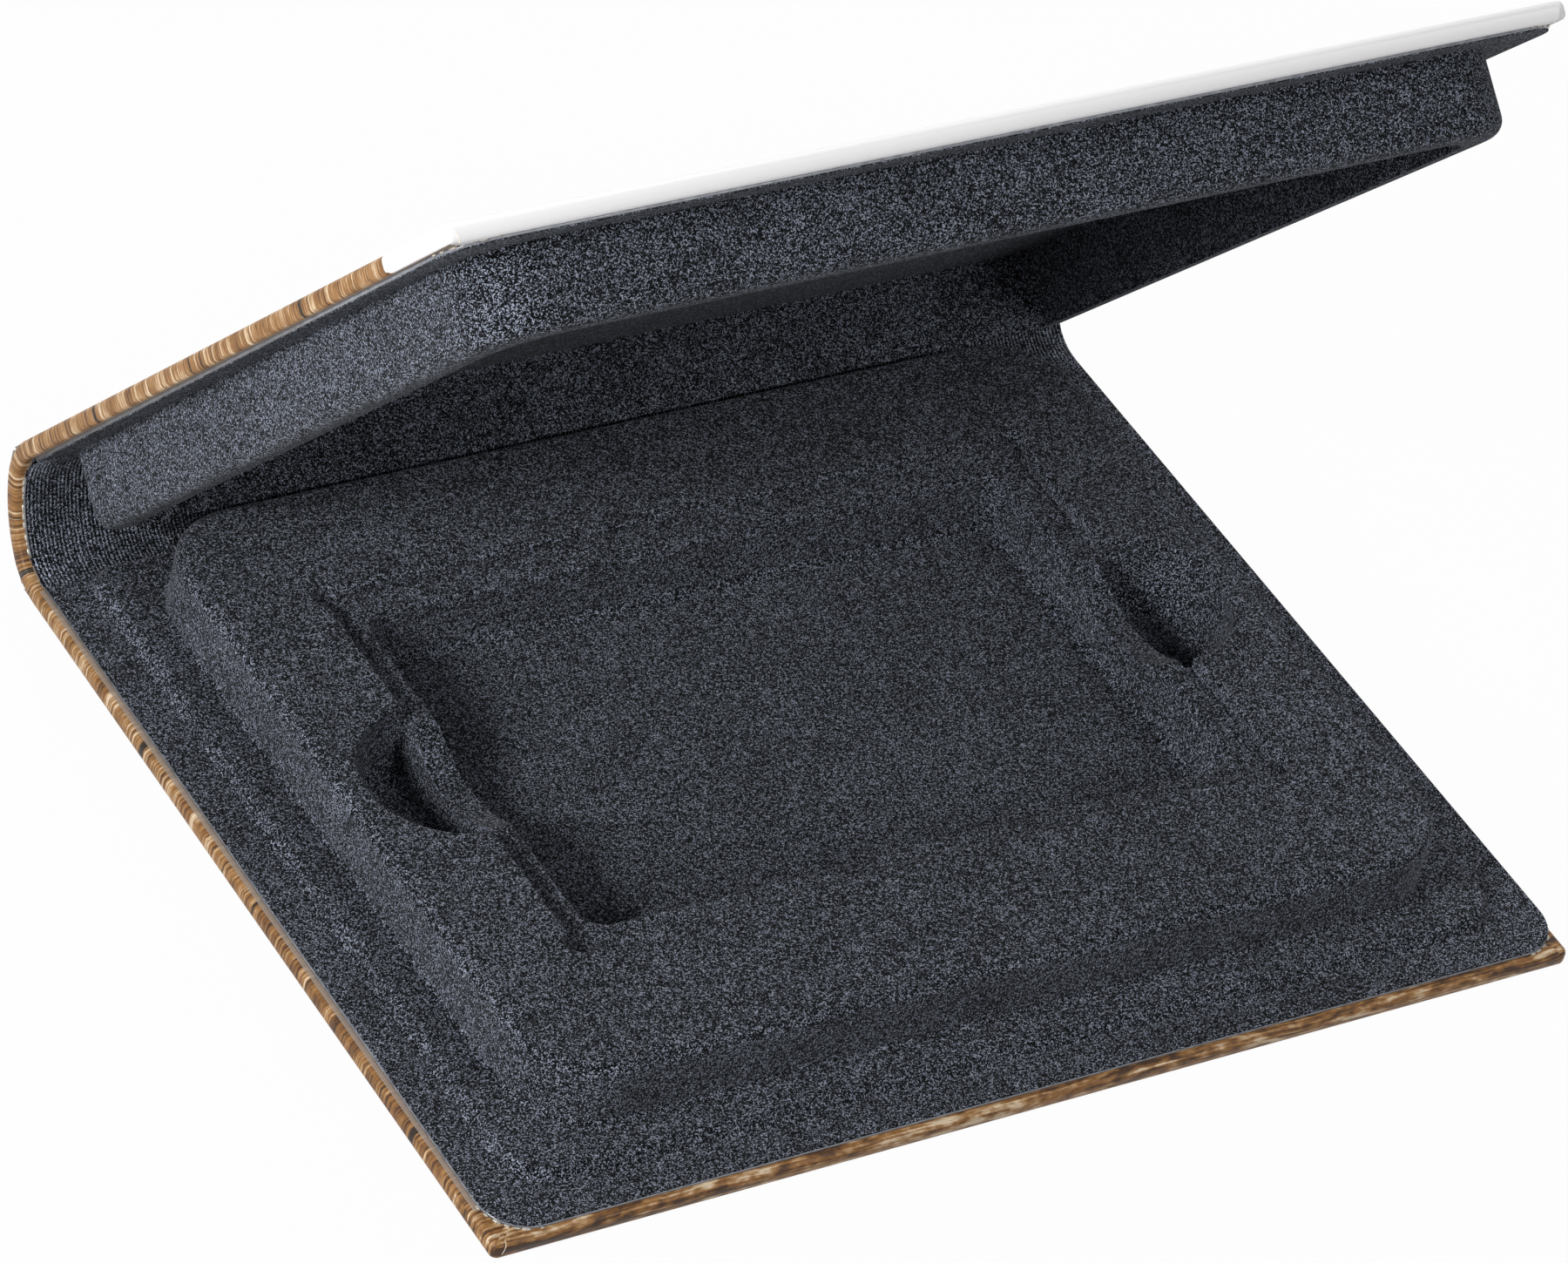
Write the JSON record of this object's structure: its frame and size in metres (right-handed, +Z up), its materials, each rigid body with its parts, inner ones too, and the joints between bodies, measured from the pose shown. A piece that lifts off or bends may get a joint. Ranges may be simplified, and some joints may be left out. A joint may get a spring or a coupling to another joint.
{
  "type": "presentation case",
  "caption": "Book-style presentation case in wood-print paper, with a formed flocked tray that holds a card-size item in a sunk pocket.",
  "frame": {"origin": "middle of the base board's underside, on the surface that the case lies on", "axes": "+X along the folds, +Y towards the spine, +Z up out of the base"},
  "size_m": [0.131, 0.1091, 0.0939],
  "materials": {
    "greyboard": "raw grey millboard",
    "printed_wrap": "laminated paper with a printed wood grain",
    "adhesive": "dried glue film",
    "flocked_liner": "thin formed sheet with a charcoal flock face"
  },
  "bodies": {
    "base": {"base_board": "greyboard", "base_wrap": "printed_wrap", "base_adhesive": "adhesive", "base_margin": "flocked_liner", "base_plinth": "flocked_liner"},
    "spine": {"spine_board": "greyboard", "spine_wrap": "printed_wrap", "spine_adhesive": "adhesive", "spine_lining": "flocked_liner", "base_fold": "printed_wrap", "lid_fold": "printed_wrap"},
    "lid": {"lid_board": "greyboard", "lid_wrap": "printed_wrap", "lid_adhesive": "adhesive", "lid_margin": "flocked_liner", "lid_floor": "flocked_liner", "lid_rim": "flocked_liner"}
  },
  "joints": [
    {"name": "spine_hinge", "type": "hinge", "parent": "base", "child": "spine", "pos_m": [0, 0.05103, 0.0003], "axis": [-1, 0, 0], "range_deg": [-25.7, 64.3]},
    {"name": "lid_hinge", "type": "hinge", "parent": "spine", "child": "lid", "pos_m": [0, 0.05756, 0.01386], "axis": [-1, 0, 0], "range_deg": [-25.7, 64.3]}
  ],
  "couplings": [
    {"joint": "lid_hinge", "follows": "spine_hinge", "ratio": 1}
  ]
}
